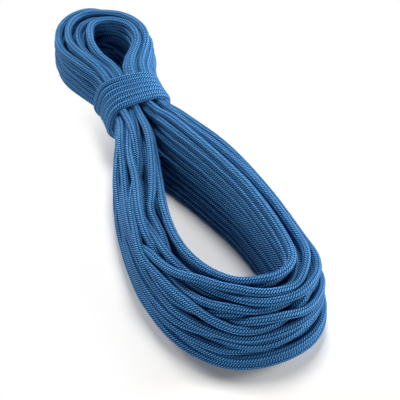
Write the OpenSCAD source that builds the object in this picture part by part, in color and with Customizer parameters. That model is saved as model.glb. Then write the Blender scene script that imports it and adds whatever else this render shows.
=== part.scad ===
// Dynamic climbing rope of 50 m, put away as a hank that lies open on a level floor.
// One kernmantle rope: piled loops, a wound waist and two finished ends.
// Millimetres. +Z up, origin on the floor under the middle of the hank, head loop towards +Y.

/* [Rope] */
// Outside diameter of the rope
rope_d = 9.8; // [9.4:0.1:10]
// Wall thickness of the braided sheath
sheath_t = 1; // [0.8:0.05:1.1]
// Clearance between the core strands and the sheath
core_gap = 0.13; // [0.08:0.01:0.2]
// Width of the marker tape that runs between core and sheath
tape_w = 1.2; // [0.8:0.1:1.4]
// Thickness of the marker tape
tape_t = 0.12; // [0.08:0.01:0.14]

/* [Hank] */
// Height from one turn of a shell to the next in the open loops
level_step = 12.6; // [12:0.1:13]
// Height from one turn of a shell to the next where the wrap presses the waist down
waist_level = 10.5; // [10.4:0.1:11]
// Clearance kept between two passes of rope that lie together
rope_gap = 0.5; // [0.45:0.05:0.7]
// Distance between neighbouring shells where the waist draws them in
waist_step = 9; // [8.9:0.1:9.4]
// Distance between neighbouring shells in the open loops
open_step = 13; // [12:0.5:14]

/* [Waist wrap] */
// Number of turns wound round the waist
wrap_turns = 6; // [5:1:6]
// How far the turns lean towards the big loop, as a share of their height
wrap_lean = 0.2; // [0:0.05:0.25]

/* [Rope ends] */
// Length of the finished straight stretch at each end
end_length = 62; // [50:1:70]
// Length of the shrunk sleeve over each end
sleeve_length = 38; // [25:1:45]
// Wall thickness of the shrunk sleeve
sleeve_t = 0.4; // [0.3:0.05:0.5]
// Length of the fused tip that seals each end
tip_length = 4; // [3:0.5:6]

/* [Hidden] */

rope_r = rope_d / 2;

// Stations round one loop, chosen by hand, clockwise from the left of the waist:
// place of the band's middle line, spread of its turns from drawn-in 0 to open 1,
// and share of the waist's height off the floor.
WAIST_X = -12;
waist_half = (rope_d + rope_gap) / 2 + 1.5 * waist_step;
STATIONS = [
  [WAIST_X - waist_half, 154, 0, 1],
  [-48, 192, 0.6, 1],
  [-58, 232, 0.8, 1],
  [-48, 266, 0.8, 1],
  [-24, 283, 0.7, 1],
  [6, 272, 0.4, 1],
  [27, 242, 0.2, 1],
  [30, 204, 0.1, 1],
  [WAIST_X + waist_half, 154, 0, 1],
  [WAIST_X + waist_half, 74, 0, 1],
  [20, 36, 0.8, 0.8],
  [42, -39, 1, 0.2],
  [58, -119, 1, 0],
  [69, -199, 1, 0],
  [70, -242, 1, 0],
  [50, -273, 1, 0],
  [10, -281, 1, 0],
  [-28, -263, 1, 0],
  [-56, -222, 1, 0],
  [-73, -166, 1, 0],
  [-72, -99, 1, 0],
  [-56, -29, 1, 0.2],
  [-41, 31, 0.8, 0.8],
  [WAIST_X - waist_half, 74, 0, 1]
];
STATION_COUNT = len(STATIONS);

// The turns climb along the right run, and change shell along the left run.
CLIMB_FROM = 10;
CLIMB_TO = 13;
SHIFT_FROM = 19;
SHIFT_TO = 22;
SHELLS = 4;
SHELL_TURNS = 6;
TOP_LEVEL = SHELL_TURNS + 0.5;

// A rope that stands on the floor is pressed flat by a tenth of its diameter.
FLAT = rope_d / 10;
floor_z = rope_r - FLAT;
waist_rise = rope_d + rope_gap;
LOOP_SIDES = 6;
TAIL_SIDES = 8;

// First and last ring of the coil, counted in stations from the left of the waist.
COIL_FIRST = 13;
COIL_LAST = COIL_FIRST + 23 * STATION_COUNT + 16;

// Each wound or swept stretch runs straight for this length where it meets the next.
straight = rope_d * 1.02;

// Way in which the coil leaves its last ring, towards the middle of the head loop.
LEAD_OUT = [0.6, -0.8, 0];
// Way in which the rope enters the coil's first ring.
LEAD_IN = [-0.02, -1, 0];

// Rope between the coil and the wrap: down inside the head loop, then under the waist.
lead_z = floor_z;
LEAD = [[12, 227, 31], [12, 209, 25], [5, 189, 15], [-2, 174, 6.5], [-7, 163, lead_z],
  [-15, 157.5, lead_z], [-26, 156, lead_z]];

// The wrap is a rounded frame round the waist, wound from the head side.
WRAP_FROM_Y = 147;
WRAP_CORNER_R = 14;
WRAP_SIDE_RINGS = 6;
wrap_pitch = (rope_d + rope_gap) / cos(atan(wrap_lean));
wrap_half_w = waist_half + 1.5 * waist_step + rope_d + rope_gap;
wrap_low = floor_z;
wrap_high = floor_z + waist_rise + TOP_LEVEL * waist_level + rope_d + rope_gap;
wrap_middle_z = (wrap_low + wrap_high) / 2;
wrap_last = 4 * WRAP_SIDE_RINGS * (wrap_turns - 1) + 3 * WRAP_SIDE_RINGS;

// Finished ends: where each straight stretch starts, and the way it points. They lie side by
// side with the coil's outermost shell, this far out from the loops' middle line.
end_z = rope_r + sleeve_t;
beside = (SHELLS - 1) / 2 * open_step + rope_d + sleeve_t;
START_END_AT = [60.8 + beside, -149];
START_END_WAY = 96;
FINISH_END_AT = [29.3 + beside, 7];
FINISH_END_WAY = -75;

// Core: three strands touch in the middle, and a ring of nine lies round them. Both ring
// radii are counted in strand radii, and the strand is sized to fill the sheath's bore.
INNER_STRANDS = 3;
OUTER_STRANDS = 9;
INNER_RING = 1.155;
OUTER_RING = 3.05;
bore_r = rope_r - sheath_t;
strand_r = (bore_r - core_gap) / (OUTER_RING + 1);
inner_ring_r = INNER_RING * strand_r;
outer_ring_r = OUTER_RING * strand_r;

// Small parts of the finished ends. A round bore is cut this far past both faces.
SLEEVE_FIT = 0.02;
TAPE_FIT = 0.1;
TIP_COLLAR = 1;
CUT_OVER = 1;
tape_r = bore_r - tape_t - TAPE_FIT;

$fn = 64;
STRAND_FN = 24;
ROPE_BLUE = [0.18, 0.42, 0.7];

function unit(v) = v / norm(v);
function smooth(t) = t <= 0 ? 0 : t >= 1 ? 1 : t * t * (3 - 2 * t);
function mix(a, b, t) = a + (b - a) * t;
function heading(a) = [cos(a), sin(a), 0];
function sideways(a) = [-sin(a), cos(a), 0];
function wrapped(k) = (k % STATION_COUNT + STATION_COUNT) % STATION_COUNT;
function plan(k) = [STATIONS[wrapped(k)][0], STATIONS[wrapped(k)][1]];
function outward(k) =
  let (t = unit(plan(k + 1) - plan(k - 1)))
  [-t[1], t[0]];
function shell_step(k) = mix(waist_step, open_step, STATIONS[wrapped(k)][2]);
function level_gap(k) = mix(waist_level, level_step, STATIONS[wrapped(k)][2]);
function rise(k, shell) = STATIONS[wrapped(k)][3] * (waist_rise + level_gap(k) * max(0, 1 - shell));

// Level of a shell's turn n where it passes the front: even shells climb, odd ones come down.
function base_level(n, shell) =
  let (turn = n - SHELL_TURNS * shell)
  shell % 2 == 0 ? turn : TOP_LEVEL - turn;

// Centre of the rope at ring j of the coil.
function coil_centre(j) =
  let (
    k = wrapped(j),
    n = floor((j - COIL_FIRST) / STATION_COUNT),
    shell_b = min(floor(n / SHELL_TURNS), SHELLS - 1),
    shell_a = n > 0 && n % SHELL_TURNS == 0 ? shell_b - 1 : shell_b,
    moved = k >= COIL_FIRST ? smooth((k - SHIFT_FROM) / (SHIFT_TO - SHIFT_FROM)) : 1,
    climbed = k < COIL_FIRST ? smooth((k - CLIMB_FROM) / (CLIMB_TO - CLIMB_FROM)) : 0,
    way = shell_b % 2 == 0 ? 1 : -1,
    shell = mix(shell_a, shell_b, moved),
    level = mix(base_level(n, shell_a), base_level(n, shell_b), moved) + way * climbed,
    across = ((SHELLS - 1) / 2 - shell) * shell_step(k),
    p = plan(k) + outward(k) * across
  )
  [p[0], p[1], floor_z + rise(k, shell) + level_gap(k) * level];

// Centre of the rope at ring q of the wrap: five rings round each corner, one along each side.
function wrap_centre(q) =
  let (
    side = floor(q / WRAP_SIDE_RINGS) % 4,
    i = q % WRAP_SIDE_RINGS,
    left = side == 0 || side == 1,
    low = side == 0 || side == 3,
    corner_x = (wrap_half_w - WRAP_CORNER_R) * (left ? -1 : 1),
    corner_z = low ? wrap_low + WRAP_CORNER_R : wrap_high - WRAP_CORNER_R,
    a = -90 - 90 * side - (i - 1) * 90 / (WRAP_SIDE_RINGS - 2),
    between = side == 0 || side == 2 ? [0, low ? wrap_low : wrap_high]
      : [wrap_half_w * (left ? -1 : 1), wrap_middle_z],
    p = i == 0 ? between : [corner_x + WRAP_CORNER_R * cos(a), corner_z + WRAP_CORNER_R * sin(a)],
    y = WRAP_FROM_Y - wrap_pitch * q / (4 * WRAP_SIDE_RINGS) - wrap_lean * (p[1] - wrap_middle_z)
  )
  [WAIST_X + p[0], y, p[1]];

coil_start = coil_centre(COIL_FIRST) - straight * unit(LEAD_IN);
coil_end = coil_centre(COIL_LAST) + straight * LEAD_OUT;
coil_path = [coil_start, for (j = [COIL_FIRST:COIL_LAST]) coil_centre(j), coil_end];

wrap_drop = unit(wrap_centre(wrap_last) - wrap_centre(wrap_last - 1));
wrap_end = wrap_centre(wrap_last) + straight * wrap_drop;
wrap_path = [
  coil_end, coil_end + straight * LEAD_OUT, each LEAD,
  for (q = [1:wrap_last]) wrap_centre(q), wrap_end
];

// Tails, from the wound rope to the finished ends.
start_end = [START_END_AT[0], START_END_AT[1], end_z];
start_tail_path = [
  coil_start, coil_start - straight * unit(LEAD_IN), [60.3 + beside, -167, 4.6],
  start_end - straight * heading(START_END_WAY), start_end
];
finish_end = [FINISH_END_AT[0], FINISH_END_AT[1], end_z];
wrap_side = WAIST_X + wrap_half_w;
finish_tail_path = [
  wrap_end, wrap_end + straight * wrap_drop,
  [wrap_side + 1.5, 87, 20], [wrap_side + 4.5, 78, 12], [wrap_side + 8.5, 65, 7],
  [15.3 + beside, 47, end_z], [22.3 + beside, 29, end_z],
  finish_end - straight * heading(FINISH_END_WAY), finish_end
];

// Least distance between the surfaces of one path's passes, measured at its rings.
function least_gap(path, skip) =
  min([
    for (i = [0:len(path) - 1 - skip])
      min([for (j = [i + skip:len(path) - 1]) norm(path[i] - path[j])])
  ]) - rope_d;

// Way along a path at one of its points, and the part of a vector that lies square to it.
function along(path, i) = unit(path[min(i + 1, len(path) - 1)] - path[max(i - 1, 0)]);
function square_to(v, t) = unit(v - (v * t) * t);

// Up vectors along a path, each square to it: all from one vector, or carried from ring to ring.
function up_vectors(path, up, carried) =
  [
    for (
      i = 0, v = square_to(up, along(path, 0));
      i < len(path);
      i = i + 1, v = square_to(carried ? v : up, along(path, min(i, len(path) - 1)))
    ) v
  ];

// Closed tube through a list of centres, as one polyhedron of triangles, cut flat at the floor.
module tube(path, sides, up = [0, 0, 1], carried = false) {
  last = len(path) - 1;
  ups = up_vectors(path, up, carried);
  points = [
    for (i = [0:last], s = [0:sides - 1])
      let (side = cross(along(path, i), ups[i]), a = 90 + s * 360 / sides)
      path[i] + rope_r * (cos(a) * side + sin(a) * ups[i])
  ];
  walls = [
    for (i = [0:last - 1], s = [0:sides - 1])
      let (a = i * sides + s, b = i * sides + (s + 1) % sides)
      each [[a, b, a + sides], [b, b + sides, a + sides]]
  ];
  reach = rope_d + max([for (p = path) norm([p[0], p[1]])]);
  first_cap = [for (s = [1:sides - 2]) [0, s + 1, s]];
  last_cap = [for (s = [1:sides - 2]) [last * sides, last * sides + s, last * sides + s + 1]];
  difference() {
    polyhedron(points, concat(walls, first_cap, last_cap));
    translate([-reach, -reach, -rope_d]) cube([2 * reach, 2 * reach, rope_d]);
  }
}

// Puts a piece that is drawn along +Z into the line of a finished end.
module in_line(at, way) {
  translate(at) rotate([0, 0, way]) rotate([0, 90, 0]) children();
}

module coil_loops() {
  color(ROPE_BLUE) tube(coil_path, LOOP_SIDES);
}

module neck_wrap() {
  color(ROPE_BLUE) tube(wrap_path, LOOP_SIDES, carried = true);
}

module tail(path, up) {
  color(ROPE_BLUE) tube(path, TAIL_SIDES, up, carried = true);
}

// Round pipe that stands on its end.
module pipe(length, outer_r, inner_r) {
  difference() {
    cylinder(h = length, r = outer_r);
    translate([0, 0, -CUT_OVER]) cylinder(h = length + 2 * CUT_OVER, r = inner_r);
  }
}

// Braided sheath of the last stretch, with the bore that the core fills.
module sheath_end() {
  color(ROPE_BLUE) pipe(end_length, rope_r, bore_r);
}

// Twisted core strands: three in the middle and nine round them, side by side.
module core_strands() {
  color("white") {
    for (i = [0:INNER_STRANDS - 1])
      rotate(i * 360 / INNER_STRANDS) translate([inner_ring_r, 0, 0])
        cylinder(h = end_length, r = strand_r, $fn = STRAND_FN);
    for (i = [0:OUTER_STRANDS - 1])
      rotate((i + 0.5) * 360 / OUTER_STRANDS) translate([outer_ring_r, 0, 0])
        cylinder(h = end_length, r = strand_r, $fn = STRAND_FN);
  }
}

// Marker tape, flat against the sheath in the groove between two strands.
module marker_tape() {
  color("gold") translate([tape_r, -tape_w / 2, 0]) cube([tape_t, tape_w, end_length]);
}

// Shrunk sleeve over the last stretch, with its lip round the fused tip's collar.
module end_sleeve() {
  color("dimgray") translate([0, 0, end_length - sleeve_length])
    pipe(sleeve_length + TIP_COLLAR, rope_r + sleeve_t, rope_r + SLEEVE_FIT);
}

// Tip where sheath and core are fused into one dome.
module fused_tip() {
  dome = tip_length - TIP_COLLAR;
  dome_r = (rope_r * rope_r + dome * dome) / (2 * dome);
  color("midnightblue") translate([0, 0, end_length]) intersection() {
    cylinder(h = tip_length, r = rope_r);
    translate([0, 0, tip_length - dome_r]) sphere(dome_r);
  }
}

// Least gap of each wound tube to itself, in millimetres.
union() {
  echo(coil_gap = least_gap(coil_path, 3), wrap_gap = least_gap(wrap_path, WRAP_SIDE_RINGS));
}

coil_loops();
neck_wrap();
tail(start_tail_path, [0, 0, 1]);  // start_tail
tail(finish_tail_path, sideways(FINISH_END_WAY));  // finish_tail
in_line(start_end, START_END_WAY) sheath_end();  // start_sheath_end
in_line(start_end, START_END_WAY) core_strands();  // start_core_strands
in_line(start_end, START_END_WAY) marker_tape();  // start_marker_tape
in_line(start_end, START_END_WAY) end_sleeve();  // start_end_sleeve
in_line(start_end, START_END_WAY) fused_tip();  // start_fused_tip
in_line(finish_end, FINISH_END_WAY) sheath_end();  // finish_sheath_end
in_line(finish_end, FINISH_END_WAY) core_strands();  // finish_core_strands
in_line(finish_end, FINISH_END_WAY) marker_tape();  // finish_marker_tape
in_line(finish_end, FINISH_END_WAY) end_sleeve();  // finish_end_sleeve
in_line(finish_end, FINISH_END_WAY) fused_tip();  // finish_fused_tip
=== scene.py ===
"""Dynamic climbing rope of 50 m, put away as a hank with a wrapped waist.

Units: sizes are millimetres where no comment says otherwise, and Blender's are metres. The row's
frame is used throughout: +Z up, the floor at z = 0, and the small head loop towards +Y.
"""

import logging
import math
from collections.abc import Callable
from dataclasses import dataclass, field
from enum import Enum
from functools import partial
from itertools import product

import bpy
import numpy as np
from bpy.types import ID, Material, Mesh, Node, NodeSocket, NodeTree, Object, World
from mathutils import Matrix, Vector

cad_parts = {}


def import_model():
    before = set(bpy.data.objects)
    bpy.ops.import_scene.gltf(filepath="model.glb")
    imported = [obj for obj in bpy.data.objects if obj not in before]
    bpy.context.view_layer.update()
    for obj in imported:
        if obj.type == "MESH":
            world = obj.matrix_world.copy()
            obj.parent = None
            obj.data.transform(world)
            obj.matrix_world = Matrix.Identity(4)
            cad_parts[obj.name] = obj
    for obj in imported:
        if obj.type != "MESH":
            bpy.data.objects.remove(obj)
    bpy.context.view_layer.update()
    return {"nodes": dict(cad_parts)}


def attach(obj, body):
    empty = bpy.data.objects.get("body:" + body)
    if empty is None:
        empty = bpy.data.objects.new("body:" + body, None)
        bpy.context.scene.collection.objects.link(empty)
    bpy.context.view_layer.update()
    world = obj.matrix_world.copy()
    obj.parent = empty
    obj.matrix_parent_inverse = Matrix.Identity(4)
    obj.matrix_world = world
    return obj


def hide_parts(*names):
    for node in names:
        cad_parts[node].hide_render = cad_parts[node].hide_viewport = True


Array = np.ndarray
Pair = tuple[float, float]
Point = tuple[float, float, float]
LOG = logging.getLogger("climbing_rope")
MM = 0.001
ROPE_D = 9.8
ROPE_R = ROPE_D / 2
FLOOR_PRESS = ROPE_D / 10  # a rope that bears on the floor is pressed flat by this much
WHITE = (1.0, 1.0, 1.0, 1.0)
NOISE_RANGE = (0.3, 0.7)  # nearly all values of a noise texture lie between these


# ---- small helpers

def linear(code: str) -> tuple[float, float, float, float]:
    """Turns an sRGB hex colour into Blender's linear one.

    Args:
        code: six hex digits after a hash sign.

    Returns:
        Linear red, green and blue, with an alpha of 1.
    """
    parts = [int(code[i:i + 2], 16) / 255 for i in (1, 3, 5)]
    red, green, blue = (c / 12.92 if c <= 0.04045 else ((c + 0.055) / 1.055) ** 2.4 for c in parts)
    return red, green, blue, 1.0


def add_node(tree: NodeTree, kind: str, inputs: dict | None = None, **settings) -> Node:
    """Adds one shader node with its settings, values and links.

    Args:
        tree: node tree that gets the node.
        kind: Blender's name of the node type, without ShaderNode before it.
        inputs: socket name or number to a value, or to what feeds it: an output, or a node for
            its first output.
        settings: attributes set on the node itself.

    Returns:
        The new node.
    """
    node = tree.nodes.new("ShaderNode" + kind)
    for name, value in settings.items():
        setattr(node, name, value)
    for key, value in (inputs or {}).items():
        source = value.outputs[0] if isinstance(value, Node) else value
        if isinstance(source, NodeSocket):
            tree.links.new(source, node.inputs[key])
        else:
            node.inputs[key].default_value = source
    return node


def node_adder(owner: Material | World) -> Callable[..., Node]:
    """Empties the node tree of a material or world, and gives add_node for it."""
    owner.use_nodes = True
    owner.node_tree.nodes.clear()
    return partial(add_node, owner.node_tree)


def place_object(name: str, data: ID) -> Object:
    """Adds an object with its mesh, lamp or camera to the scene."""
    placed = bpy.data.objects.new(name, data)
    bpy.context.scene.collection.objects.link(placed)
    return placed


def place_mesh(name: str, vertices: Array, faces: list) -> Object:
    """Adds an object with a new smooth mesh to the scene.

    Args:
        name: name of the object.
        vertices: points of the mesh in metres.
        faces: the point numbers of each face.

    Returns:
        The new object.
    """
    mesh = bpy.data.meshes.new(name)
    mesh.from_pydata(vertices.tolist(), [], faces)
    mesh.validate()
    mesh.shade_smooth()
    return place_object(name, mesh)


def unit(vectors: Array) -> Array:
    """Scales each row vector to length 1."""
    return vectors / (np.linalg.norm(vectors, axis=-1, keepdims=True) + 1e-12)


def smooth_step(t: Array) -> Array:
    """Eases from 0 to 1 while t goes from 0 to 1."""
    t = np.clip(t, 0.0, 1.0)
    return t * t * (3 - 2 * t)


def spline(rows: Array, t: Array, closed: bool) -> Array:
    """Reads a Catmull-Rom spline through rows of numbers.

    Args:
        rows: one row for each knot.
        t: knot numbers at which it is read, with fractions.
        closed: whether the last knot leads back to the first.

    Returns:
        One row for each t.
    """
    count = len(rows)
    knot = np.floor(t).astype(int)
    f = (t - knot)[:, None]
    a, b, c, d = (
        rows[(knot + k) % count if closed else np.clip(knot + k, 0, count - 1)] for k in (-1, 0, 1, 2)
    )
    return 0.5 * (2 * b + (c - a) * f + (2 * a - 5 * b + 4 * c - d) * f**2 + (3 * b - a - 3 * c + d) * f**3)


def distance_along(points: Array) -> Array:
    """Gives the distance along a path at each of its points."""
    return np.concatenate([[0.0], np.cumsum(np.linalg.norm(np.diff(points, axis=0), axis=1))])


def evenly(points: Array, step: float) -> Array:
    """Places points at equal distances on the smooth curve through the given ones.

    Args:
        points: points that the curve passes.
        step: wanted distance.

    Returns:
        The new points, the first and last of them kept.
    """
    knots = len(points) - 1
    dense = spline(points, np.linspace(0, knots, knots * 8 + 1), closed=False)
    run = distance_along(dense)
    at = np.linspace(0.0, run[-1], max(2, int(round(run[-1] / step)) + 1))
    return np.column_stack([np.interp(at, run, dense[:, k]) for k in range(dense.shape[1])])


def along(points: Array) -> Array:
    """Gives the unit direction of a path at each of its points."""
    way = np.empty_like(points)
    way[1:-1] = points[2:] - points[:-2]
    way[0] = points[1] - points[0]
    way[-1] = points[-1] - points[-2]
    return unit(way)


def spread_along(values: Array, rounds: int) -> Array:
    """Smooths values along a path, as a rope's stiffness spreads a push.

    Args:
        values: one row for each point of the path.
        rounds: how many times each row is averaged with its neighbours.

    Returns:
        The smoothed rows.
    """
    for _ in range(rounds):
        soft = values.copy()
        soft[1:-1] = 0.25 * values[:-2] + 0.5 * values[1:-1] + 0.25 * values[2:]
        values = soft
    return values


# ---- shape of the hank

@dataclass(frozen=True)
class Section:
    """Cut through the pile of runs at one station of the loop.

    Distances across are counted outwards from (x, y); they and the heights bound the runs'
    middle lines. A side goes from its floor distance to its top distance, bulging by its round,
    and the outer foot is tucked in. Loose is 0 where the runs are drawn tight and 1 where they
    lie slack and wander.
    """

    x: float
    y: float
    outer_floor: float
    outer_top: float
    outer_round: float
    inner_floor: float
    inner_top: float
    inner_round: float
    low: float
    high: float
    tuck: float
    loose: float


WAIST_X = -12.0
WAIST_LEFT, WAIST_RIGHT = WAIST_X - 18.2, WAIST_X + 18.2  # the two halves of the bunch at the waist
HEAD_Y, LOOP_Y = 154, 80  # where the waist meets the head loop and the long loop
HALF = 13.1  # half the width of one of the waist's halves
LIFTED = 13.2  # lowest height where the lead and the wrap pass below the pile
SECTIONS = (
    Section(WAIST_LEFT, HEAD_Y, HALF, 6, 2.5, -HALF, -HALF, 1, LIFTED, 77, 14, 0),
    Section(-48, 190, 14, 6, 2.2, -16, -16, 1, LIFTED, 86, 15, 0.3),
    Section(-59, 230, 19.5, 11, 2.5, -20, -26, 1, LIFTED, 89, 13, 0.35),
    Section(-49, 266, 20, 14, 2.5, -15, -27, 1, LIFTED, 89, 2, 0.35),
    Section(-24, 282, 24, 14, 1.6, -9, -20, 1, LIFTED, 88, 0, 0.35),
    Section(6, 270, 30.5, 2, 1, 2, -9, 1, LIFTED, 87, 0, 0.35),
    Section(28, 240, 15.5, 2, 1.3, -12, -3, 1.5, LIFTED, 91, 0, 0.35),
    Section(31, 202, 14, 6, 1.6, -15, -6, 1.5, LIFTED, 88, 3, 0.3),
    Section(WAIST_RIGHT, HEAD_Y, HALF, 13, 3.5, -HALF, -HALF, 1, LIFTED, 82, 3, 0),
    Section(WAIST_RIGHT, LOOP_Y, HALF, 12.5, 3.2, -HALF, -HALF, 1, LIFTED, 80, 3, 0),
    Section(21, 34, 18, 12, 1.8, -36, -10, 1.3, 8, 88, 0, 0.3),
    Section(42, -39, 21, 18.5, 1.8, -29, -8, 1.3, ROPE_R, 91, 0, 0.45),
    Section(58, -119, 21.5, 18.5, 2, -18.5, -4, 1.3, ROPE_R, 91, 0, 0.45),
    Section(69, -199, 20, 12, 2, -17, -9, 1.3, ROPE_R, 90, 0, 0.5),
    Section(70, -242, 22.5, 6, 2.1, -17, -18, 1.2, ROPE_R, 89, 0, 0.8),
    Section(50, -273, 24.5, -13, 2, -22, -28, 1, ROPE_R, 89, 0, 0.9),
    Section(10, -281, 22.5, -20, 2, -24, -30.5, 1, ROPE_R, 89, 0, 0.9),
    Section(-28, -263, 25.5, -19, 2, -24, -28.5, 1, ROPE_R, 87, 0, 0.9),
    Section(-56, -222, 28, -12, 2, -22, -26, 1, ROPE_R, 83, 0, 1),
    Section(-73, -166, 23, -8, 2, -22, -28, 1, ROPE_R, 80, 0, 1),
    Section(-73, -99, 20.5, -6, 2, -22, -29, 1, ROPE_R, 77, 0, 1),
    Section(-58, -29, 23.5, -6, 2, -26, -30, 1, 7, 78, 0, 1),
    Section(-43, 31, 18, 0, 2.2, -24, -26, 1, 11, 84, 0, 0.6),
    Section(WAIST_LEFT, LOOP_Y, HALF, 6, 2.5, -HALF, -HALF, 1, LIFTED, 77, 17, 0),
)


class PileShape:
    """The pile's sections, read anywhere round the loop."""

    NUDGE = 0.05  # stations to either side from which the loop's direction is taken
    TUCKED_SHARE = 0.45  # share of the height over which the outer foot is tucked in
    PULL = 0.5  # share of the way back to the pile that a stray point takes at once
    SINKING = 0.5  # of which it sinks by this share,
    BEDDED = 2 * ROPE_D  # if it lies higher than this over the lowest run

    def __init__(self, stations: Array) -> None:
        """Reads the sections.

        Args:
            stations: station number of each point, with fractions.
        """
        rows = np.array([[getattr(s, f) for f in Section.__dataclass_fields__] for s in SECTIONS])
        before, self.middle, after = (
            spline(rows[:, :2], stations + nudge, closed=True) for nudge in (-self.NUDGE, 0.0, self.NUDGE)
        )
        way = unit(after - before)
        self.outward = np.column_stack([-way[:, 1], way[:, 0]])
        columns = spline(rows[:, 2:], stations, closed=True).T
        self.outer, self.inner = columns[0:3], columns[3:6]
        self.low, self.high, self.tuck = columns[6:9]
        self.loose = np.clip(columns[9], 0, 1)

    def sides(self, heights: Array) -> tuple[Array, Array]:
        """Gives how far out and how far in a run may lie.

        Args:
            heights: height of each point.

        Returns:
            Outer and inner distance across for each point.
        """
        share = np.clip((heights - self.low) / (self.high - self.low), 0, 1)
        outer, inner = (
            top + (floor - top) * (1 - share**bulge) ** (1 / bulge)
            for floor, top, bulge in (self.outer, self.inner)
        )
        return outer - self.tuck * np.clip(1 - share / self.TUCKED_SHARE, 0, 1) ** 2, inner

    def place(self, across: Array, heights: Array) -> Array:
        """Turns distances across and heights into points."""
        return np.column_stack([self.middle + self.outward * across[:, None], heights])

    def keep_inside(self, points: Array) -> Array:
        """Draws points that stick out of the pile back towards it.

        Args:
            points: points of the rope, one for each station given at the start.

        Returns:
            The moved points.
        """
        moved = points.copy()
        moved[:, 2] -= self.PULL * np.clip(moved[:, 2] - self.high, 0, None)
        moved[:, 2] += self.PULL * np.clip(self.low - moved[:, 2], 0, None)
        across = ((points[:, :2] - self.middle) * self.outward).sum(1)
        outer, inner = self.sides(moved[:, 2])
        shift = np.clip(across, inner, outer) - across
        moved[:, :2] += self.PULL * shift[:, None] * self.outward
        moved[:, 2] -= self.SINKING * self.PULL * np.abs(shift) * (moved[:, 2] > self.low + self.BEDDED)
        return moved


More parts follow.
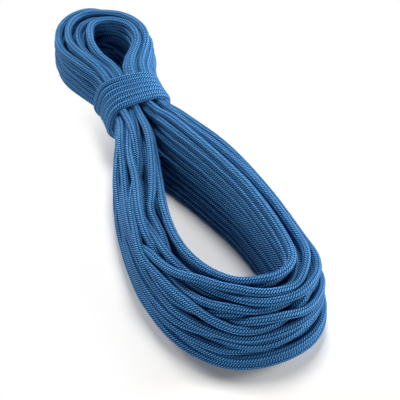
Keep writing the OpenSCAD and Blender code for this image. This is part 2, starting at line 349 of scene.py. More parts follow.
@dataclass
class HankLoops:
    """The piled loops, from the first run's foot to the last run's foot in the head loop."""

    turns: int = 36
    last_stations: int = 16  # the coil ends this many stations after its last full turn
    first_station: int = 13  # and starts at this one, on the right side of the long loop
    columns: tuple[int, ...] = (9, 9, 9, 10)
    points_per_station: int = 8
    side_step: Pair = (18.5, 22.5)  # stations between which a turn changes place
    sway_across: float = 0.5  # of the rope's diameter
    sway_up: float = 0.4
    swings_across: tuple[float, ...] = (1.31, 2.17, 2.9, 3.7)  # for each turn
    swings_up: tuple[float, ...] = (1.13, 1.9, 3.1, 4.3)
    swing_strength: Pair = (0.6, 1.4)
    inner_calm: float = 0.7  # the inmost runs lie against the eye and wander less, by this share
    # Crossings: the station, how many start there, and how many stations they take.
    crossings: tuple[tuple[float, int, float], ...] = (
        (18.6, 4, 2.6), (19.4, 4, 2.4), (25.5, 1, 3), (36.5, 3, 2.5), (37.5, 3, 2.5),
        (38.5, 4, 2.5), (39.5, 5, 2.5), (40.2, 4, 2.2),
    )
    crossing_change: Pair = (0.8, 1.2)  # by which the stations taken vary
    crossing_reach: float = 1.45  # runs cross that are less than this many diameters apart
    calm_from: float = 0.9  # share inwards from which no run crosses another
    calm_below: float = 0.12  # and share of the height below which none does
    pile_width: float = 30.0  # by which shares are turned into distances for the crossings
    pile_height: float = 85.0
    # Slits between bunches of runs: station, stations it reaches each way, share inwards and width.
    partings: tuple[tuple[float, float, float, float], ...] = (
        (14.2, 0.9, 0.17, 9.0), (21.2, 1.3, 0.5, 7.0), (20.3, 1.2, 0.8, 6.0), (16.2, 0.8, 0.5, 4.0),
        (11.8, 2.4, 0.17, 4.0), (12.4, 2.2, 0.5, 4.0),
    )
    parting_foot: float = 0.3  # share of the height where a slit starts to open
    parting_rise: float = 0.4  # and share over which it opens
    cover: float = 0.9  # runs above this share of the height have none over them
    cover_fade: float = 0.2  # and those below it more and more, over this share
    seed: int = 12

    def places(self) -> Array:
        """Lists each turn's place in the pile: share inwards, and share of the height."""
        rows = max(self.columns) - 0.5
        found = []
        for column, count in enumerate(self.columns):
            heights = (np.arange(count) + (0.5 if column % 2 else 0.0)) / rows
            for height in heights[::-1] if column % 2 else heights:
                found.append((column / (len(self.columns) - 1), height))
        return np.array(found)

    def lanes(self, rng: np.random.Generator) -> Array:
        """Lets neighbouring runs cross now and then on their way round.

        Args:
            rng: seeded generator.

        Returns:
            For each run and each step since the turns last changed places: share inwards, share
            of the height, and the millimetres across and up by which it gives way.
        """
        places = self.places()
        per = self.points_per_station
        begin = self.side_step[0]
        steps = np.arange(int(begin * per), int((begin + len(SECTIONS)) * per) + 1) / per
        found = np.zeros((len(places), len(steps), 4))
        found[:, :, :2] = places[:, None, :]
        holder = np.arange(len(places))
        lively = np.flatnonzero((places[:, 0] < self.calm_from) & (places[:, 1] > self.calm_below))
        free_from = np.full(len(places), begin)
        size = np.array([self.pile_width, self.pile_height])
        for start, count, length in self.crossings:
            for _ in range(count):
                first = int(rng.choice(lively))
                apart = np.linalg.norm((places[lively] - places[first]) * size, axis=1)
                near = (apart > 0) & (apart < self.crossing_reach * ROPE_D)
                choice = lively[near & (free_from[lively] <= start)]
                if free_from[first] > start or len(choice) == 0:
                    continue
                second = int(rng.choice(choice))
                stop = start + length * rng.uniform(*self.crossing_change)
                free_from[[first, second]] = stop
                share = smooth_step((steps - start) / (stop - start))
                way = (places[second] - places[first]) * size
                aside = np.array([way[1], -way[0]]) / np.linalg.norm(way) * 0.5 * ROPE_D
                for run, sign in ((holder[first], 1), (holder[second], -1)):
                    found[run, :, :2] += sign * share[:, None] * (places[second] - places[first])
                    found[run, :, 2:] += sign * np.sin(math.pi * share)[:, None] * aside
                holder[[first, second]] = holder[[second, first]]
        return found

    def sway(self, laps: Array, swings: tuple[float, ...], rng: np.random.Generator) -> Array:
        """Makes the slow wandering of a hand-laid rope.

        Args:
            laps: place along the rope, in turns.
            swings: how often each of its waves swings in a turn.
            rng: seeded generator.

        Returns:
            A number of about -1 to 1 for each place.
        """
        waves = sum(
            rng.uniform(*self.swing_strength) * np.sin(2 * math.pi * (swing * laps + rng.uniform()))
            for swing in swings
        )
        return waves / math.sqrt(len(swings) / 2)

    def parted(self, stations: Array, inward: Array, share: Array) -> Array:
        """Opens the slits in the upper layers.

        Args:
            stations: station number of each point.
            inward: share inwards of each point.
            share: share of the height of each point.

        Returns:
            Millimetres outwards by which each point gives way.
        """
        moved = np.zeros(len(stations))
        opened = smooth_step((share - self.parting_foot) / self.parting_rise)
        for place, reach, where, width in self.partings:
            near = np.cos(0.5 * math.pi * np.clip((stations - place) / reach, -1, 1)) ** 2
            moved += 0.5 * width * near * opened * np.sign(where - inward)
        return moved

    def route(self) -> tuple[Array, Array, Array]:
        """Lays the loops roughly in their places.

        Returns:
            The points, the station number of each, and how deep each lies inside the pile (0 to 1).
        """
        rng = np.random.default_rng(self.seed)
        per, count = self.points_per_station, len(SECTIONS)
        passed = np.arange((self.turns * count + self.last_stations) * per + 1) / per
        stations = (passed + self.first_station) % count
        turn = (passed // count).astype(int)
        lanes = self.lanes(rng)
        begin, end = self.side_step
        earlier = stations < self.first_station
        moved = np.where(earlier, 1.0, smooth_step((stations - begin) / (end - begin)))
        step = np.round((stations - begin) * per).astype(int)
        lap = count * per
        last = len(lanes) - 1
        here = lanes[np.minimum(turn, last), np.clip(step + lap, 0, lap)]
        after = lanes[np.minimum(turn + 1, last), np.where(earlier, step + lap, np.maximum(step, 0))]
        inward, share, aside, up = (here + (after - here) * moved[:, None]).T
        shape = PileShape(stations)
        laps = passed / count
        free = shape.loose * (1 - self.inner_calm * inward) * ROPE_D
        heights = shape.low + (shape.high - shape.low) * share
        heights = heights + up + self.sway(laps, self.swings_up, rng) * self.sway_up * free
        heights = np.clip(heights, shape.low, shape.high)
        outer, inner = shape.sides(heights)
        across = outer + (inner - outer) * inward
        across = across - aside + self.sway(laps, self.swings_across, rng) * self.sway_across * free
        across += self.parted(stations, inward, share)
        between = smooth_step((len(self.columns) - 1) * np.minimum(inward, 1 - inward))
        buried = between * smooth_step((self.cover - share) / self.cover_fade)
        return shape.place(np.clip(across, inner, outer), heights), stations, buried


@dataclass
class Contacts:
    """Finds and mends places where the rope lies in itself."""

    spacing: Array  # wanted distance of each point to the other runs
    skip: int  # how many neighbours along the rope are no contact
    pairs: tuple[Array, Array] = (np.empty(0, int), np.empty(0, int))
    ALONGSIDE = 0.92  # cosine between two runs, above which they lie side by side
    OPPOSITE = 0.62  # points side by side meet if they are less than this share of a step apart lengthwise
    SHARING = 0.55  # each point takes its pushes' mean, divided by this

    def search(self, points: Array, reach: float) -> None:
        """Lists the pairs of points that lie closer than reach, with a grid of cells.

        Args:
            points: points of the rope.
            reach: edge of a cell, and the greatest distance of a pair.
        """
        cell = np.floor(points / reach).astype(np.int64)
        cell -= cell.min(0) - 1
        size = cell.max(0) + 2
        key = (cell[:, 0] * size[1] + cell[:, 1]) * size[2] + cell[:, 2]
        order = np.argsort(key, kind="stable")
        ranked = key[order]
        every = np.arange(len(points))
        own = (0, 0, 0)
        found = []
        for other in product((0, 1), (-1, 0, 1), (-1, 0, 1)):
            if other < own:
                continue
            target = key + (other[0] * size[1] + other[1]) * size[2] + other[2]
            start = np.searchsorted(ranked, target, "left")
            count = np.searchsorted(ranked, target, "right") - start
            a = np.repeat(every, count)
            place = np.arange(len(a)) - np.repeat(np.cumsum(count) - count, count)
            b = order[np.repeat(start, count) + place]
            good = (np.abs(a - b) > self.skip) & ((b > a) | (other != own))
            a, b = a[good], b[good]
            near = ((points[a] - points[b]) ** 2).sum(1) < reach * reach
            found.append((a[near], b[near]))
        self.pairs = tuple(np.concatenate(side) for side in zip(*found))

    def push(self, points: Array, step: float) -> Array:
        """Works out how far each point has to give way.

        Args:
            points: points of the rope.
            step: distance between neighbours along the rope.

        Returns:
            One displacement for each point.
        """
        a, b = self.pairs
        way = along(points)
        apart = points[b] - points[a]
        turn = (way[a] * way[b]).sum(1)
        common = unit(way[a] + np.sign(turn)[:, None] * way[b])
        lengthwise = (apart * common).sum(1)
        side_by_side = np.abs(turn) > self.ALONGSIDE
        apart = np.where(side_by_side[:, None], apart - lengthwise[:, None] * common, apart)
        distance = np.linalg.norm(apart, axis=1) + 1e-6
        lack = 0.5 * (self.spacing[a] + self.spacing[b]) - distance
        touching = (lack > 0) & (~side_by_side | (np.abs(lengthwise) < self.OPPOSITE * step))
        a, b = a[touching], b[touching]
        force = (0.5 * lack[touching] / distance[touching])[:, None] * apart[touching]
        count = len(points)
        given = np.column_stack(
            [np.bincount(b, force[:, k], count) - np.bincount(a, force[:, k], count) for k in range(3)]
        )
        shared = np.bincount(a, minlength=count) + np.bincount(b, minlength=count)
        return given / (self.SHARING * np.maximum(shared, 1))[:, None]


@dataclass
class Settling:
    """Lets the rope's runs push each other aside until they lie side by side."""

    rounds: int = 240
    search_every: int = 8
    search_reach: float = 1.4  # of the rope's diameter
    skipped: float = 6.0  # diameters along the rope within which it doesn't meet itself
    contact_gain: float = 1.5
    contact_spread: int = 2
    stiffness: float = 0.25
    stiffness_spread: int = 6
    memory: float = 0.006  # every point is held to its place at least this firmly
    least_bend: float = 0.0  # bends of a smaller radius are opened
    unbend_gain: float = 1.2
    unbend_reach: int = 2  # points to either side from which a bend is measured
    unbend_spread: int = 3

    def unbend(self, points: Array) -> Array:
        """Opens the bends that are too tight for the rope.

        Args:
            points: points of the rope.

        Returns:
            One displacement for each point.
        """
        reach = self.unbend_reach
        before, after = points[:-2 * reach], points[2 * reach:]
        sag = 0.5 * (before + after) - points[reach:-reach]
        allowed = np.linalg.norm(after - before, axis=1) ** 2 / (8 * self.least_bend)
        excess = np.clip(1 - allowed / (np.linalg.norm(sag, axis=1) + 1e-9), 0, 1)
        moved = np.zeros_like(points)
        moved[reach:-reach] = self.unbend_gain * excess[:, None] * sag
        return spread_along(moved, self.unbend_spread)

    def settle(
        self, points: Array, spacing: Array, held: Array, bound: Callable[[Array], Array] | None = None
    ) -> Array:
        """Runs the settling.

        Args:
            points: points of the rope, about evenly spaced.
            spacing: wanted distance of each point to the other runs.
            held: how firmly each point is held to where it started, 0 to 1.
            bound: brings points that left the pile back to it, if it is bounded.

        Returns:
            The settled points.
        """
        rest = points.copy()
        step = float(np.median(np.linalg.norm(np.diff(points, axis=0), axis=1)))
        contacts = Contacts(spacing, skip=int(self.skipped * ROPE_D / step))
        hold = np.maximum(held, self.memory)[:, None]
        for round_number in range(self.rounds):
            if round_number % self.search_every == 0:
                contacts.search(points, self.search_reach * ROPE_D)
            pushed = spread_along(contacts.push(points, step), self.contact_spread)
            points = points + self.contact_gain * pushed
            strain = points - rest
            points = points + self.stiffness * (spread_along(strain, self.stiffness_spread) - strain)
            if self.least_bend:
                points = points + self.unbend(points)
            points = points + hold * (rest - points)
            if bound is not None:
                points = bound(points)
            points[:, 2] = np.maximum(points[:, 2], ROPE_R - FLOOR_PRESS)
        return points


@dataclass
class WaistWrap:
    """The turns of rope wound tightly round the waist, from the head side towards the long loop."""

    first_turn: float = 0.06  # the winding starts just past the middle of the waist's floor side
    last_turn: float = 5.75  # and ends on the way down the right side
    middle_y: float = 117.0
    middle_turn: float = 3.0
    pitch: float = 9.0
    pitch_swing: float = 1.7  # the turns lie wider on the left side and crowd on the right
    lean: float = 0.3  # the turns lean towards the long loop, by this much of their height
    lean_from: float = 44.0
    squeeze: float = 8.8  # distance between the wrap and the runs inside it
    outlines: int = 17  # outlines taken along the waist
    spare_turns: float = 4.0  # pitches that they reach to either side of the middle
    samples: int = 48  # points of a turn
    finer: int = 4  # an outline is drawn with this many times as many points
    smoothing: int = 16

    def outline(self, loops: Array, y: float) -> Array:
        """Follows a rope drawn tightly round the runs at one place along the waist.

        Args:
            loops: points of the settled loops.
            y: place along the waist.

        Returns:
            x and z of the wrap's middle line, from below the waist and round by the left.
        """
        near = loops[np.abs(loops[:, 1] - y) < ROPE_D][:, [0, 2]]
        angles = np.radians(-90 - np.arange(361))
        rays = np.column_stack([np.cos(angles), np.sin(angles)])
        line = near[(near @ rays.T).argmax(0)] + self.squeeze * rays
        run = distance_along(line)
        at = np.linspace(0, run[-1], self.samples * self.finer + 1)[:-1]
        line = np.column_stack([np.interp(at, run, line[:, k]) for k in (0, 1)])
        below = np.where(line[:, 1] < line[:, 1].min() + ROPE_R, np.abs(line[:, 0] - WAIST_X), np.inf)
        line = np.roll(line, -int(below.argmin()), axis=0)
        for _ in range(self.smoothing):
            line = 0.25 * np.roll(line, 1, 0) + 0.5 * line + 0.25 * np.roll(line, -1, 0)
        return line[::self.finer]

    def route(self, loops: Array) -> Array:
        """Winds the turns.

        Args:
            loops: points of the settled loops.

        Returns:
            The points of the wrap's middle line.
        """
        reach = self.spare_turns * self.pitch + self.lean * self.lean_from
        ys = np.linspace(self.middle_y - reach, self.middle_y + reach, self.outlines)
        rings = np.array([self.outline(loops, y) for y in ys])
        turn = np.arange(self.first_turn, self.last_turn, 1 / self.samples)
        share = turn % 1
        pitch = self.pitch + self.pitch_swing * np.cos(2 * math.pi * (share - 0.25))
        heights = rings[self.outlines // 2, np.round(share * self.samples).astype(int) % self.samples, 1]
        y = self.middle_y - (turn - self.middle_turn) * pitch - self.lean * (heights - self.lean_from)
        row = (y - ys[0]) / (ys[1] - ys[0])
        low = np.clip(row.astype(int), 0, self.outlines - 2)
        column = share * self.samples
        left = column.astype(int)
        right = (left + 1) % self.samples
        f, g = (row - low)[:, None], (column - left)[:, None]
        lower, upper = (rings[k, left] * (1 - g) + rings[k, right] * g for k in (low, low + 1))
        line = lower * (1 - f) + upper * f
        return np.column_stack([line[:, 0], y, line[:, 1]])


@dataclass(frozen=True)
class RopeEnd:
    """A finished end: a straight stretch of the rope with a shrunk sleeve and a fused tip."""

    name: str
    x: float  # where the straight stretch starts
    y: float
    way_degrees: float
    length: float = 62.0
    sides: int = 48
    gap: float = 0.02  # between the rope and what sits on it
    sleeve_t: float = 0.4
    sleeve_length: float = 38.0
    rim_share: float = 0.35  # radius of the sleeve's rolled rims, of its thickness
    wave_depth: float = 0.05  # of the waves that the sleeve took up from the braid
    wave_length: float = 3.1
    wave_rows: int = 61
    tip_length: float = 4.0
    tip_collar: float = 1.0  # part of the tip's length that isn't rounded
    collar_radii: Pair = (0.98, 0.995)  # of the rope's radius
    collar_end: float = 0.8  # of the collar's length
    dome_inset: float = 0.1  # the dome stays this much inside the rope's outline
    dome_round: float = 0.7
    dome_rows: int = 16
    bead: float = 0.12  # height of the melted bead round the dome's edge

    @property
    def start(self) -> Array:
        """Point where the straight stretch starts."""
        return np.array([self.x, self.y, ROPE_R + self.sleeve_t])

    @property
    def way(self) -> Array:
        """Unit direction towards the tip."""
        angle = math.radians(self.way_degrees)
        return np.array([math.cos(angle), math.sin(angle), 0.0])

    def at(self, distance: float) -> Array:
        """Gives the point of the middle line at a distance from the start."""
        return self.start + self.way * distance

    def turned(self, part: str, profile: list[Pair], hollow: bool) -> Object:
        """Turns a profile round the middle line.

        Args:
            part: what is made.
            profile: distance from the start and radius, in order.
            hollow: whether the profile leads back to its first point, and not from pole to pole.

        Returns:
            The new object.
        """
        up = np.array([0.0, 0.0, 1.0])
        angle = (2 * math.pi * np.arange(self.sides) / self.sides)[:, None]
        ring = np.cos(angle) * np.cross(self.way, up) + np.sin(angle) * up
        poles = [] if hollow else [[self.at(profile[k][0])] for k in (0, -1)]
        vertices = np.concatenate([self.at(d) + r * ring for d, r in profile] + poles) * MM
        vertices[:, 2] = np.maximum(vertices[:, 2], 0.0)
        rows, sides = len(profile), self.sides
        faces = []
        for s in range(sides):
            t = (s + 1) % sides
            for i in range(rows if hollow else rows - 1):
                a, b = i * sides, ((i + 1) % rows) * sides
                faces.append((a + s, a + t, b + t, b + s))
            if not hollow:
                a, b = rows * sides, (rows - 1) * sides
                faces += [(a, t, s), (a + 1, b + s, b + t)]
        return place_mesh(f"{self.name}_{part}", vertices, faces)

    def sleeve(self) -> Object:
        """Builds the sleeve: a thin tube with rolled rims that took up the braid's waves.

        Returns:
            The new object.
        """
        bore, outside = ROPE_R + self.gap, ROPE_R + self.sleeve_t
        first, last = self.length - self.sleeve_length, self.length + self.tip_collar
        rim = self.rim_share * self.sleeve_t
        rolled = ((0.0, bore), (0.0, outside - rim), (0.4 * rim, outside - 0.3 * rim))
        waves = [
            (d, outside - self.wave_depth * (1 - math.cos(2 * math.pi * (d - first) / self.wave_length)))
            for d in np.linspace(first + 2 * rim, last - 2 * rim, self.wave_rows)
        ]
        profile = [(first + d, r) for d, r in rolled] + waves + [(last - d, r) for d, r in rolled[::-1]]
        return self.turned("sleeve", profile, hollow=True)

    def tip(self) -> Object:
        """Builds the tip: a low dome with a melted bead round its edge.

        Returns:
            The new object.
        """
        dome = self.tip_length - self.tip_collar - 2 * self.dome_inset
        ends = (self.gap, self.tip_collar * self.collar_end)
        profile = [(self.length + d, ROPE_R * r) for d, r in zip(ends, self.collar_radii)]
        for angle in np.radians(np.linspace(4, 88, self.dome_rows)):
            radius = ROPE_R - self.dome_inset + self.bead * math.sin(3 * angle) ** 2
            distance = self.length + self.tip_collar + dome * math.sin(angle)
            profile.append((distance, radius * math.cos(angle) ** self.dome_round))
        return self.turned("tip", profile, hollow=False)


START_END = RopeEnd("start", 90.5, -149, 96)
FINISH_END = RopeEnd("finish", 59, 7, -75)
# Points that the rope passes outside the loops: from the start end to the first run, from the last
# run under the waist to the wrap, and from the wrap to the finish end.
START_TAIL = ((90.0, -167.0, 4.6), (88.9, -184.0, 3.92))
LEAD = (
    (12, 254, 20), (11, 236, 20), (6, 214, 17), (1, 194, 12), (-3, 176, 6.5),
    (-7, 163, 3.92), (-15, 157.5, 3.92), (-26, 156, 3.92),
)
FINISH_TAIL = ((31.95, 87, 20), (34.95, 78, 12), (38.95, 65, 7), (45, 47, 5.3), (52, 29, 5.3))


@dataclass
class WholeRope:
    """The rope from one fused tip to the other, as one middle line."""

    loops: HankLoops = field(default_factory=HankLoops)
    wrap: WaistWrap = field(default_factory=WaistWrap)
    slack_spacing: float = 9.6  # between the middle lines of slack runs that touch
    tight_spacing: float = 8.6  # and where the wrap squeezes them together
    buried_squeeze: float = 1.8  # runs deep inside the pile lie closer than the ones on its outside
    plain_depth: float = 0.35  # depth at which a run has the plain spacing
    step: float = 6.6
    lead_hold: float = 0.3  # how firmly the lead keeps its place while the loops settle
    loops_hold: float = 0.04  # and what keeps its place how firmly while the whole rope settles
    wrap_hold: float = 0.4
    start_hold: float = 0.6
    fixed_points: int = 12  # at the finish end
    last_rounds: int = 60
    last_stiffness: float = 0.1
    last_smoothing: int = 2
    least_bend: float = 26.0

    def middle_line(self) -> Array:
        """Lays, settles and wraps the whole rope.

        Returns:
            Points from the start end's tip to the finish end's tip.
        """
        laid, stations, buried = self.loops.route()
        start_way = [START_END.at(START_END.length), START_END.at(0), *START_TAIL, laid[0]]
        finish_way = [*FINISH_TAIL, FINISH_END.at(0), FINISH_END.at(FINISH_END.length)]
        start = evenly(np.array(start_way), self.step)
        finish = evenly(np.array(finish_way), self.step)
        lead = evenly(np.array([laid[-1], *LEAD]), self.step)[1:]
        points = np.concatenate([start[:-1], laid, lead, finish])
        body = slice(len(start) - 1, len(start) - 1 + len(laid))
        lead_end = body.stop + len(lead)
        held = np.ones(len(points))
        held[body] = 0.0
        held[body.stop:lead_end] = self.lead_hold
        shape = PileShape(stations)

        def bound(moved: Array) -> Array:
            """Keeps the loops inside the pile."""
            moved[body] = shape.keep_inside(moved[body])
            return moved

        spacing = np.full(len(points), self.tight_spacing)
        spacing[body] += (self.slack_spacing - self.tight_spacing) * shape.loose
        spacing[body] += self.buried_squeeze * (self.plain_depth - buried) * shape.loose
        settled = Settling().settle(points, spacing, held, bound)
        wrapped = self.wrap.route(settled[body])
        finish = evenly(np.array([wrapped[-1], *finish_way]), self.step)[1:]
        joined = np.concatenate([settled[:lead_end], wrapped, finish])
        held = np.full(len(joined), self.loops_hold)
        held[lead_end:] = self.wrap_hold
        held[:body.start] = self.start_hold
        held[-self.fixed_points:] = 1.0
        wrap_spacing = np.full(len(joined) - lead_end, self.wrap.pitch - self.wrap.pitch_swing)
        spacing = np.concatenate([spacing[:lead_end], wrap_spacing])
        last = Settling(rounds=self.last_rounds, stiffness=self.last_stiffness, least_bend=self.least_bend)
        return spread_along(last.settle(joined, spacing, held), self.last_smoothing)


# ---- the rope's surface

class RopeMesh:
    """Makes the rope's surface as one tube of quads with its lay kept as a map."""

    LAY_MAP = "rope_lay"
    BAKE_MAP = "OFBake"
    SIDES = 14
    STEP = 5.0  # between rings
    STRIP_GAPS = (0.003, 0.04)  # shares of a strip of the bake map that its ends and edges leave free

    def __init__(self, line: Array) -> None:
        """Places the rings along the rope's middle line."""
        self.line = evenly(line, self.STEP)

    def frames(self) -> tuple[Array, Array]:
        """Carries a pair of cross vectors along the line, without twist.

        Returns:
            Both vectors for each ring.
        """
        way = along(self.line)
        up = np.empty_like(way)
        up[0] = unit(np.array([0.0, 0.0, 1.0]) - way[0, 2] * way[0])
        for i in range(1, len(way)):
            carried = up[i - 1] - (up[i - 1] @ way[i]) * way[i]
            up[i] = carried / math.sqrt(carried @ carried)
        return up, np.cross(way, up)

    def build(self) -> Object:
        """Makes the rope, closed at both ends.

        Returns:
            The new object.
        """
        up, side = self.frames()
        angle = (2 * math.pi * np.arange(self.SIDES) / self.SIDES)[None, :, None]
        rings = self.line[:, None, :] + ROPE_R * (
            np.cos(angle) * up[:, None, :] + np.sin(angle) * side[:, None, :]
        )
        rings[:, :, 2] = np.maximum(rings[:, :, 2], 0.0)
        vertices = np.concatenate([rings.reshape(-1, 3), self.line[[0, -1]]]) * MM
        here = np.arange(len(self.line) * self.SIDES).reshape(-1, self.SIDES)
        beside = np.roll(here, -1, axis=1)
        quads = np.stack([here[:-1], here[1:], beside[1:], beside[:-1]], axis=-1).reshape(-1, 4)
        caps = [
            np.column_stack([np.full(self.SIDES, pole), one, other])
            for pole, one, other in ((here.size, here[0], beside[0]), (here.size + 1, beside[-1], here[-1]))
        ]
        rope = place_mesh("rope", vertices, quads.tolist() + np.concatenate(caps).tolist())
        self.add_maps(rope.data, len(quads))
        return rope

    def add_maps(self, mesh: Mesh, quads: int) -> None:
        """Adds the map of the rope's lay, and one that lays the rope out in strips for baking.

        Args:
            mesh: the rope's mesh.
            quads: number of wall faces, which come before the end faces.
        """
        run = distance_along(self.line) * MM
        i, s = (np.repeat(part, 4) for part in np.divmod(np.arange(quads), self.SIDES))
        next_ring = np.tile([0, 1, 1, 0], quads)
        next_side = np.tile([0, 0, 1, 1], quads)
        round_share = (s + next_side) / self.SIDES
        lay = np.column_stack([round_share, run[i + next_ring]])
        strips = math.ceil(math.sqrt(run[-1] / (math.pi * ROPE_D * MM)))
        per_strip = math.ceil((len(self.line) - 1) / strips)
        strip, place = i // per_strip, i % per_strip
        ends, edges = self.STRIP_GAPS
        bake = np.column_stack([
            ends + (1 - 2 * ends) * (place + next_ring) / per_strip,
            (strip + edges + (1 - 2 * edges) * round_share) / strips,
        ])
        for name, values in ((self.LAY_MAP, lay), (self.BAKE_MAP, bake)):
            layer = mesh.uv_layers.new(name=name)
            corners = np.zeros((len(mesh.loops), 2), np.float32)
            corners[:len(values)] = values
            layer.uv.foreach_set("vector", corners.ravel())
        mesh.uv_layers.active = mesh.uv_layers[self.LAY_MAP]


# ---- finishes

@dataclass(frozen=True)
class BraidedPolyamide:
    """Rope sheath: braided from dyed polyamide yarns, which gives matt slanting flecks in columns. Odd yarns
    turn paler towards their tops, a painted highlight, and all yarns turn darker towards the spaces between
    them, painted shade.
    """

    slot: str = "rope_sheath"
    name: str = "braided_polyamide_sheath"
    pale: str = "#7BD0FB"
    mid: str = "#10509A"
    deep: str = "#071B52"
    yarns_each_way: int = 14  # a real sheath has about 20, drawn coarser so that it shows
    pitch_mm: float = 1.55  # of a real 1.2 mm, for the same reason
    relief_mm: float = 0.16
    repeat: float = 4.0  # crossings after which the braid repeats
    pale_floats: int = 3  # crossings of these over which the pale yarns lie on top
    painted_crown_highlight: Pair = (0.45, 0.9)  # shares of the relief between which a yarn takes its brighter colour, a painted highlight on its top
    painted_groove_shade: float = 0.35  # brightness of the painted shade between the yarns
    patches: float = 55.0  # in a metre, a little darker or paler from handling
    patch_tones: Pair = (0.9, 1.08)

    def material(self) -> Material:
        """Builds the material.

        Returns:
            The new material.
        """
        material = bpy.data.materials.new(self.name)
        add = node_adder(material)
        axes = add("SeparateXYZ", {0: add("UVMap", uv_map=RopeMesh.LAY_MAP)})
        rounds = add("Math", {0: axes, 1: self.yarns_each_way}, operation="MULTIPLY")
        run = add("Math", {0: axes.outputs[1], 1: self.pitch_mm * MM}, operation="DIVIDE")
        profiles, numbers = [], []
        for slant in ("ADD", "SUBTRACT"):
            way = add("Math", {0: rounds, 1: run}, operation=slant)
            part = add("Math", {0: way}, operation="FRACT")
            angle = add("Math", {0: part, 1: math.pi}, operation="MULTIPLY")
            profiles.append(add("Math", {0: angle}, operation="SINE"))
            numbers.append(add("Math", {0: way}, operation="FLOOR"))
        total = add("Math", {0: numbers[0], 1: numbers[1]}, operation="ADD")
        column = add("Math", {0: total, 1: self.repeat}, operation="FLOORED_MODULO")
        right_on_top = add("Math", {0: column, 1: self.pale_floats - 0.5}, operation="LESS_THAN")
        height = add("Mix", {0: right_on_top, 2: profiles[1], 3: profiles[0]}, data_type="FLOAT")
        # painted highlight: share of the brighter colour, rising with the yarn's height towards its top
        painted_crown_highlight = add("MapRange", {0: height, 1: self.painted_crown_highlight[0], 2: self.painted_crown_highlight[1]})
        yarns = []
        for number, dim, lit in ((numbers[1], self.deep, self.mid), (numbers[0], self.mid, self.pale)):
            odd = add("Math", {0: number, 1: 2.0}, operation="FLOORED_MODULO")
            share = add("Math", {0: odd, 1: painted_crown_highlight}, operation="MULTIPLY")
            yarn = add("Mix", {0: share, 6: linear(dim), 7: linear(lit)}, data_type="RGBA")
            yarns.append(yarn.outputs[2])
        yarn = add("Mix", {0: right_on_top, 6: yarns[0], 7: yarns[1]}, data_type="RGBA")
        # painted shade: each yarn darker towards its edges, down to a set brightness between the yarns
        shade = add("MapRange", {0: height, 3: self.painted_groove_shade, 4: 1.0})
        grime = add("TexNoise", {"Scale": self.patches, "Detail": 3.0}, noise_dimensions="3D")
        patchy = add("MapRange", dict(enumerate((grime, *NOISE_RANGE, *self.patch_tones))))
        tone = add("Math", {0: shade, 1: patchy}, operation="MULTIPLY")
        colour = add("VectorMath", {0: yarn.outputs[2], 3: tone}, operation="SCALE")
        bump = add("Bump", {"Height": height, "Strength": 1.0, "Distance": self.relief_mm * MM})
        shader = add("BsdfPrincipled", {
            "Base Color": colour, "Roughness": 0.8, "IOR": 1.53, "Specular IOR Level": 0.15, "Normal": bump})
        add("OutputMaterial", {0: shader})
        return material


@dataclass(frozen=True)
class PlainFinish:
    """A finish whose colour and gloss vary a little, over a grain of a real size."""

    slot: str
    name: str
    base: str
    second: str
    grain_mm: float
    relief_mm: float
    roughness: Pair
    ior: float = 1.5

    def material(self) -> Material:
        """Builds the material.

        Returns:
            The new material.
        """
        material = bpy.data.materials.new(self.name)
        add = node_adder(material)
        place = add("TexCoord").outputs["Object"]
        noise = add("TexNoise", {"Vector": place, "Scale": 1 / (self.grain_mm * MM), "Detail": 4.0})
        colour = add("Mix", {0: noise, 6: linear(self.base), 7: linear(self.second)}, data_type="RGBA")
        gloss = add("MapRange", dict(enumerate((noise, *NOISE_RANGE, *self.roughness))))
        bump = add("Bump", {"Height": noise, "Strength": 0.8, "Distance": self.relief_mm * MM})
        shader = add("BsdfPrincipled", {
            "Base Color": colour.outputs[2], "Roughness": gloss, "IOR": self.ior, "Normal": bump})
        add("OutputMaterial", {0: shader})
        return material


class Finish(Enum):
    """The finishes of the rope, by the real material and how its surface was made."""

    SHEATH = BraidedPolyamide()
    # Twisted white yarn: matt, with a fine fibrous grain.
    CORE = PlainFinish(
        "rope_core", "twisted_polyamide_core", "#EDEAE2", "#D9D5CB", 0.8, 0.08, (0.7, 0.85), 1.53
    )
    # Thin polyester film: smooth and a little glossy.
    TAPE = PlainFinish("marker_tape", "polyester_tape", "#D8B733", "#CBA927", 3.0, 0.01, (0.35, 0.5), 1.57)
    # Polyolefin tube shrunk by heat: satin, with faint dimples where it took up the braid.
    SLEEVE = PlainFinish(
        "end_sleeve", "heat_shrunk_polyolefin", "#1A1C20", "#24272C", 2.2, 0.06, (0.36, 0.52)
    )
    # Yarn melted by a hot blade: hard, dark and uneven.
    TIP = PlainFinish("fused_tip", "fused_polyamide", "#14294D", "#0C1A33", 1.2, 0.15, (0.22, 0.45), 1.53)

    def dress(self, piece: Object) -> None:
        """Gives a piece this finish, which is made when it is first used."""
        material = bpy.data.materials.get(self.value.name) or self.value.material()
        piece.data.materials.clear()
        piece.data.materials.append(material)


# ---- the pieces

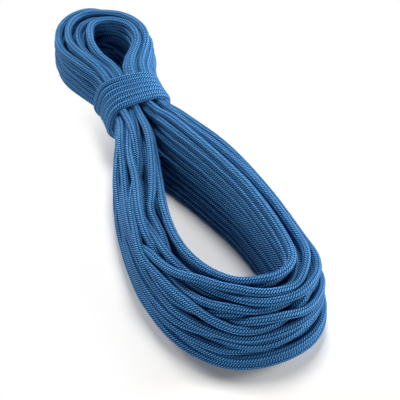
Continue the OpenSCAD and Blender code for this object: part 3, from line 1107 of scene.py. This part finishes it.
@dataclass
class ClimbingRope:
    """The whole rope: one cord with its wrapped waist, and its two finished ends."""

    nodes: dict[str, Object]  # the frame's solids by name
    SOLIDS = ("coil_loops", "neck_wrap", "start_tail", "finish_tail", "start_sheath_end", "finish_sheath_end")

    def build(self) -> None:
        """Builds, dresses and declares every piece of the rope."""
        ends = [piece for end in (START_END, FINISH_END) for piece in self.build_end(end)]
        mesh = RopeMesh(WholeRope().middle_line())
        rope = self.declare(mesh.build(), Finish.SHEATH, *self.SOLIDS)

    def declare(self, piece: Object, finish: Finish, *solids: str) -> Object:
        """Dresses a new piece and ties it to the frame.

        Args:
            piece: the piece.
            finish: the finish it gets.
            solids: the frame's solids that it replaces.

        Returns:
            The same piece.
        """
        finish.dress(piece)
        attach(piece, "root")
        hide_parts(*solids)
        LOG.info("%s: built", piece.name)
        return piece

    def build_end(self, end: RopeEnd) -> list[Object]:
        """Builds one finished end, and dresses the solids inside it.

        Args:
            end: place and sizes of the end.

        Returns:
            The pieces that sit on the rope there.
        """
        Finish.CORE.dress(self.nodes[f"{end.name}_core_strands"])
        Finish.TAPE.dress(self.nodes[f"{end.name}_marker_tape"])
        return [
            self.declare(end.sleeve(), Finish.SLEEVE, f"{end.name}_end_sleeve"),
            self.declare(end.tip(), Finish.TIP, f"{end.name}_fused_tip"),
        ]


# ---- the studio

@dataclass(frozen=True)
class SoftBox:
    """A square lamp turned to the frame's origin: place and edge in metres, power in watts."""

    name: str
    place: Point
    edge: float
    power: float

    def hang(self) -> None:
        """Hangs the lamp."""
        lamp = bpy.data.lights.new(self.name, "AREA")
        lamp.shape = "SQUARE"
        lamp.size = self.edge
        lamp.energy = self.power
        holder = place_object(self.name, lamp)
        holder.location = self.place
        holder.rotation_euler = (-Vector(self.place)).to_track_quat("-Z", "Y").to_euler()


@dataclass(frozen=True)
class Studio:
    """Floor, backdrop, lamps and camera."""

    floor_size: float = 8.0  # metres, like the floor's other sizes
    floor_drop: float = 0.0002  # the floor lies this far below the rope, so that they don't flicker
    floor_grey: tuple[float, ...] = (0.9, 0.9, 0.9, 1.0)  # as the lamps' light meets it
    floor_tint: tuple[float, ...] = (1.0, 0.978, 0.952, 1.0)  # as it is seen near the rope
    fade: Pair = (0.25, 0.4)  # distances between which it turns white, from here on:
    fade_middle: Pair = (0.03, -0.15)
    fade_squeeze: float = 2.0  # the fade starts nearer on both sides than in front, by this factor
    # One lamp high behind on the right, and low ones round it that leave its shadow in front.
    lamps: tuple[SoftBox, ...] = (
        SoftBox("soft_box_above", (0.28, 0.4, 1.5), 0.5, 18.5),
        SoftBox("soft_box_back", (-1.03, 1.79, 0.75), 0.7, 35.0),
        SoftBox("soft_box_right", (2.12, -0.4, 0.46), 0.8, 68.0),
        SoftBox("soft_box_front", (-1.0, -1.75, 0.75), 0.7, 14.0),
    )
    camera_elevation: float = 45.0
    camera_azimuth: float = -20.7
    camera_distance: float = 1360.8
    target: Point = (26.3, -32.8, 0.0)
    focal_px: float = 1075.0  # for an image 400 pixels wide
    image_px: float = 400.0
    sensor_mm: float = 36.0

    def build(self) -> None:
        """Builds everything in the studio."""
        self.lay_floor()
        self.whiten_backdrop()
        for lamp in self.lamps:
            lamp.hang()
        self.place_camera()

    def seen(self, add: Callable[..., Node]) -> Node:
        """Adds the test for what is seen directly, in a reflection or through glass.

        Args:
            add: adds nodes to the tree that gets it.

        Returns:
            Node whose output is 1 there and 0 elsewhere.
        """
        path = add("LightPath").outputs
        mirrored = add("Math", {0: path["Is Camera Ray"], 1: path["Is Glossy Ray"]}, operation="MAXIMUM")
        return add("Math", {0: mirrored, 1: path["Is Transmission Ray"]}, operation="MAXIMUM")

    def lay_floor(self) -> None:
        """Lays a white floor that keeps shadows near the rope and fades into the backdrop further out."""
        corners = np.array([(-1, -1, 0), (1, -1, 0), (1, 1, 0), (-1, 1, 0)]) * self.floor_size / 2
        floor = place_mesh("floor", corners, [(0, 1, 2, 3)])
        floor.location.z = -self.floor_drop
        material = bpy.data.materials.new("white_studio_floor")
        add = node_adder(material)
        lit = add("BsdfDiffuse", {"Color": self.floor_grey})
        pale = add("BsdfDiffuse", {"Color": self.floor_tint})
        white = add("Emission", {"Color": WHITE, "Strength": 1.0})
        x, y = self.fade_middle
        squeeze, shift = (self.fade_squeeze, 1.0, 0.0), (-self.fade_squeeze * x, -y, 0.0)
        place = add("TexCoord").outputs["Object"]
        oval = add("VectorMath", {0: place, 1: squeeze, 2: shift}, operation="MULTIPLY_ADD")
        away = add("VectorMath", {0: oval}, operation="LENGTH").outputs["Value"]
        far = add("MapRange", {0: away, 1: self.fade[0], 2: self.fade[1]}, interpolation_type="SMOOTHSTEP")
        faded = add("MixShader", {0: far, 1: pale, 2: white})
        add("OutputMaterial", {0: add("MixShader", {0: self.seen(add), 1: lit, 2: faded})})
        floor.data.materials.append(material)

    def whiten_backdrop(self) -> None:
        """Makes everything round the floor white to look at, and dark as a light."""
        world = bpy.data.worlds.new("studio")
        bpy.context.scene.world = world
        add = node_adder(world)
        add("OutputWorld", {0: add("Background", {"Color": WHITE, "Strength": self.seen(add)})})

    def place_camera(self) -> None:
        """Places the camera in front of the long loop, looking down along the hank."""
        elevation, azimuth = math.radians(self.camera_elevation), math.radians(self.camera_azimuth)
        level = math.cos(elevation)
        look = Vector((-math.sin(azimuth) * level, math.cos(azimuth) * level, -math.sin(elevation)))
        data = bpy.data.cameras.new("camera")
        data.sensor_width = self.sensor_mm
        data.lens = self.focal_px / self.image_px * self.sensor_mm
        camera = place_object("camera", data)
        camera.location = (Vector(self.target) - look * self.camera_distance) * MM
        camera.rotation_euler = look.to_track_quat("-Z", "Y").to_euler()
        bpy.context.scene.camera = camera


def main() -> None:
    """Loads the frame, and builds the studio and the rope."""
    logging.basicConfig(level=logging.INFO, format="%(name)s: %(message)s")
    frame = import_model()
    bpy.context.scene.view_settings.view_transform = "Standard"
    Studio().build()
    ClimbingRope(frame["nodes"]).build()


if __name__ == "__main__":
    main()
